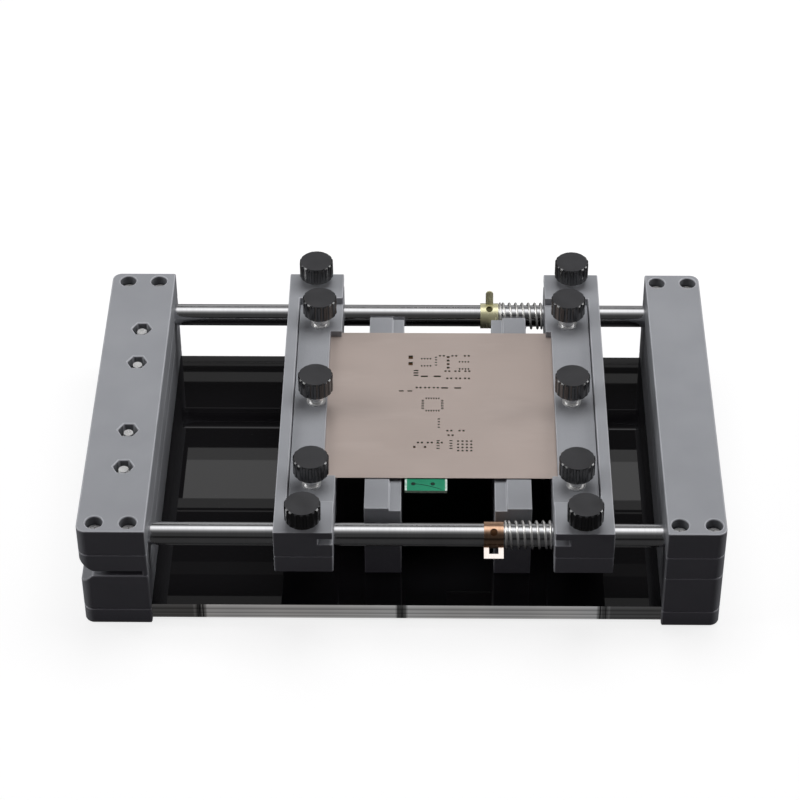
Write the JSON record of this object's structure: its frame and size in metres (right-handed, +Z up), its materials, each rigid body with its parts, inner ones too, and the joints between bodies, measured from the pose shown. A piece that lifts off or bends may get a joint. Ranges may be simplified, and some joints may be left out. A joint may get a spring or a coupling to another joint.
{
  "type": "manual stencil printer",
  "caption": "Manual solder paste stencil printer: hinged rod frame with sliding clamp bars, pressing strips and fluted knobs over a black base with board supports",
  "frame": {"origin": "bottom centre of the bounding box, on the plane the foot plates rest on", "axes": "+X to the operator's right along the rods, +Y away from the operator, +Z up"},
  "size_m": [0.328, 0.2154, 0.0793],
  "materials": {
    "grey_plastic": "smooth satin mid-grey plastic",
    "black_grip": "satin black moulded grip",
    "black_acrylic": "mirror-glossy black sheet with polished edges",
    "rod_chrome": "hard-chromed ground steel",
    "bright_steel": "bright zinc-plated steel",
    "hinge_steel": "plain steel hinge leaf",
    "spring_steel": "bright drawn spring wire",
    "copper_band": "brown passivated sprung band",
    "zinc_band": "yellow zinc-plated sprung band",
    "stencil_steel": "fine brushed stainless sheet",
    "board_green": "green solder resist"
  },
  "bodies": {
    "base": {"base_plate": "black_acrylic", "left_foot_plate": "grey_plastic", "right_foot_plate": "grey_plastic", "left_lower_block": "grey_plastic", "right_lower_block": "grey_plastic", "base_screws": "bright_steel", "hinge_fixed_leaf_front": "hinge_steel", "hinge_fixed_leaf_rear": "hinge_steel", "hinge_pins": "bright_steel", "hinge_lower_screws": "bright_steel"},
    "upper_frame": {"left_top_cap": "grey_plastic", "right_top_cap": "grey_plastic", "left_rod_seat": "grey_plastic", "right_rod_seat": "grey_plastic", "front_rod": "rod_chrome", "rear_rod": "rod_chrome", "cap_screws": "bright_steel", "hinge_moving_leaf_front": "hinge_steel", "hinge_moving_leaf_rear": "hinge_steel", "hinge_upper_screws": "bright_steel", "hinge_nuts": "bright_steel", "front_spring": "spring_steel", "rear_spring": "spring_steel"},
    "left_bar": {"left_bar_upper": "grey_plastic", "left_bar_lower": "grey_plastic", "left_bar_nuts": "bright_steel", "stencil": "stencil_steel"},
    "right_bar": {"right_bar_upper": "grey_plastic", "right_bar_lower": "grey_plastic", "right_bar_nuts": "bright_steel"},
    "left_strip_unit": {"left_strip": "grey_plastic", "left_strip_washers": "bright_steel"},
    "right_strip_unit": {"right_strip": "grey_plastic", "right_strip_washers": "bright_steel"},
    "front_collar": {"front_band_clamp": "copper_band"},
    "rear_collar": {"rear_band_clamp": "zinc_band"},
    "left_rail": {"left_support": "grey_plastic"},
    "right_rail": {"right_support": "grey_plastic"},
    "board": {"circuit_board": "board_green"},
    "left_knob_mid": {"left_strip_knob_mid": "black_grip", "left_strip_screw_mid": "bright_steel"},
    "left_knob_front": {"left_strip_knob_front": "black_grip", "left_strip_screw_front": "bright_steel"},
    "left_knob_rear": {"left_strip_knob_rear": "black_grip", "left_strip_screw_rear": "bright_steel"},
    "left_lock_front": {"left_lock_knob_front": "black_grip", "left_lock_screw_front": "bright_steel"},
    "left_lock_rear": {"left_lock_knob_rear": "black_grip", "left_lock_screw_rear": "bright_steel"},
    "right_knob_mid": {"right_strip_knob_mid": "black_grip", "right_strip_screw_mid": "bright_steel"},
    "right_knob_front": {"right_strip_knob_front": "black_grip", "right_strip_screw_front": "bright_steel"},
    "right_knob_rear": {"right_strip_knob_rear": "black_grip", "right_strip_screw_rear": "bright_steel"},
    "right_lock_front": {"right_lock_knob_front": "black_grip", "right_lock_screw_front": "bright_steel"},
    "right_lock_rear": {"right_lock_knob_rear": "black_grip", "right_lock_screw_rear": "bright_steel"}
  },
  "joints": [
    {"name": "frame_hinge", "type": "hinge", "parent": "base", "child": "upper_frame", "pos_m": [-0.161, 0, 0.0355], "axis": [0, -1, 0], "range_deg": [0, 110]},
    {"name": "left_bar_slide", "type": "slide", "parent": "upper_frame", "child": "left_bar", "axis": [1, 0, 0], "range_m": [-0.06, 0]},
    {"name": "right_bar_slide", "type": "slide", "parent": "upper_frame", "child": "right_bar", "axis": [1, 0, 0], "range_m": [0, 0.025], "deforming": ["front_spring", "rear_spring"]},
    {"name": "front_collar_slide", "type": "slide", "parent": "upper_frame", "child": "front_collar", "axis": [1, 0, 0], "range_m": [-0.02, 0]},
    {"name": "rear_collar_slide", "type": "slide", "parent": "upper_frame", "child": "rear_collar", "axis": [1, 0, 0], "range_m": [-0.02, 0]},
    {"name": "left_rail_slide", "type": "slide", "parent": "base", "child": "left_rail", "axis": [-1, 0, 0], "range_m": [0, 0.005]},
    {"name": "right_rail_slide", "type": "slide", "parent": "base", "child": "right_rail", "axis": [1, 0, 0], "range_m": [0, 0.005]},
    {"name": "board_slide", "type": "slide", "parent": "base", "child": "board", "axis": [0, -1, 0], "range_m": [0, 0.014]},
    {"name": "left_strip_lift", "type": "slide", "parent": "left_bar", "child": "left_strip_unit", "axis": [0, 0, 1], "range_m": [0, 0.0016]},
    {"name": "left_knob_mid_turn", "type": "hinge", "parent": "left_strip_unit", "child": "left_knob_mid", "pos_m": [-0.0465, 0.001, 0.069], "axis": [0, 0, 1], "range_deg": [0, 720]},
    {"name": "left_knob_front_turn", "type": "hinge", "parent": "left_strip_unit", "child": "left_knob_front", "pos_m": [-0.0465, -0.064, 0.069], "axis": [0, 0, 1], "range_deg": [0, 720]},
    {"name": "left_knob_rear_turn", "type": "hinge", "parent": "left_strip_unit", "child": "left_knob_rear", "pos_m": [-0.0465, 0.066, 0.069], "axis": [0, 0, 1], "range_deg": [0, 720]},
    {"name": "left_lock_front_turn", "type": "hinge", "parent": "left_bar", "child": "left_lock_front", "pos_m": [-0.0495, -0.0985, 0.069], "axis": [0, 0, 1], "range_deg": [0, 360]},
    {"name": "left_lock_rear_turn", "type": "hinge", "parent": "left_bar", "child": "left_lock_rear", "pos_m": [-0.0495, 0.0985, 0.069], "axis": [0, 0, 1], "range_deg": [0, 360]},
    {"name": "right_strip_lift", "type": "slide", "parent": "right_bar", "child": "right_strip_unit", "axis": [0, 0, 1], "range_m": [0, 0.0016]},
    {"name": "right_knob_mid_turn", "type": "hinge", "parent": "right_strip_unit", "child": "right_knob_mid", "pos_m": [0.0895, 0.001, 0.069], "axis": [0, 0, 1], "range_deg": [0, 720]},
    {"name": "right_knob_front_turn", "type": "hinge", "parent": "right_strip_unit", "child": "right_knob_front", "pos_m": [0.0895, -0.064, 0.069], "axis": [0, 0, 1], "range_deg": [0, 720]},
    {"name": "right_knob_rear_turn", "type": "hinge", "parent": "right_strip_unit", "child": "right_knob_rear", "pos_m": [0.0895, 0.066, 0.069], "axis": [0, 0, 1], "range_deg": [0, 720]},
    {"name": "right_lock_front_turn", "type": "hinge", "parent": "right_bar", "child": "right_lock_front", "pos_m": [0.0925, -0.0985, 0.069], "axis": [0, 0, 1], "range_deg": [0, 360]},
    {"name": "right_lock_rear_turn", "type": "hinge", "parent": "right_bar", "child": "right_lock_rear", "pos_m": [0.0925, 0.0985, 0.069], "axis": [0, 0, 1], "range_deg": [0, 360]}
  ],
  "couplings": [
    {"joint": "left_knob_mid_turn", "follows": "left_strip_lift", "rad_per_m": 7853.9},
    {"joint": "left_knob_front_turn", "follows": "left_strip_lift", "rad_per_m": 7853.9},
    {"joint": "left_knob_rear_turn", "follows": "left_strip_lift", "rad_per_m": 7853.9},
    {"joint": "right_knob_mid_turn", "follows": "right_strip_lift", "rad_per_m": 7853.9},
    {"joint": "right_knob_front_turn", "follows": "right_strip_lift", "rad_per_m": 7853.9},
    {"joint": "right_knob_rear_turn", "follows": "right_strip_lift", "rad_per_m": 7853.9}
  ]
}
